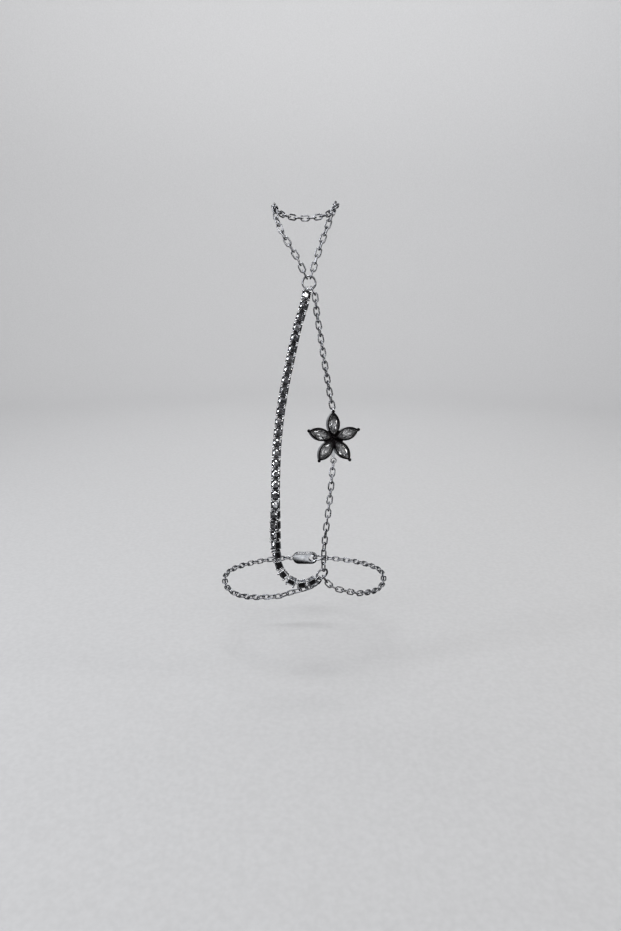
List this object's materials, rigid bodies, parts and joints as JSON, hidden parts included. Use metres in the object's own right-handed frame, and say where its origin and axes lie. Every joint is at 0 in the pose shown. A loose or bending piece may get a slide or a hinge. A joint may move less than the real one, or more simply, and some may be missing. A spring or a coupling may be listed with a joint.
{
  "type": "hand chain bracelet",
  "caption": "Hand chain bracelet with a wrist chain, a finger loop, a strand of box-set round stones and a cable strand with a flower of pointed stones.",
  "frame": {"origin": "middle of the wrist loop, where the wrist goes through", "axes": "+Z from the wrist to the fingers, -Y away from the back of the hand, +X to the right seen from the front"},
  "size_m": [0.0557, 0.0474, 0.1237],
  "materials": {
    "polished_silver": "polished",
    "coated_flower": "polished, with a dark coating on the front",
    "round_stone": "polished",
    "petal_stone": "polished"
  },
  "bodies": {
    "root": {"finger_chain": "polished_silver", "upper_ring": "polished_silver", "tennis_settings": "polished_silver", "tennis_stones": "round_stone", "side_chain_upper": "polished_silver", "flower_setting": "coated_flower", "petal_stone_1": "petal_stone", "petal_stone_2": "petal_stone", "petal_stone_3": "petal_stone", "petal_stone_4": "petal_stone", "petal_stone_5": "petal_stone", "side_chain_lower": "polished_silver", "lower_ring": "polished_silver", "wrist_chain_left": "polished_silver", "wrist_chain_right": "polished_silver", "clasp": "polished_silver", "clasp_ring": "polished_silver"}
  },
  "joints": []
}
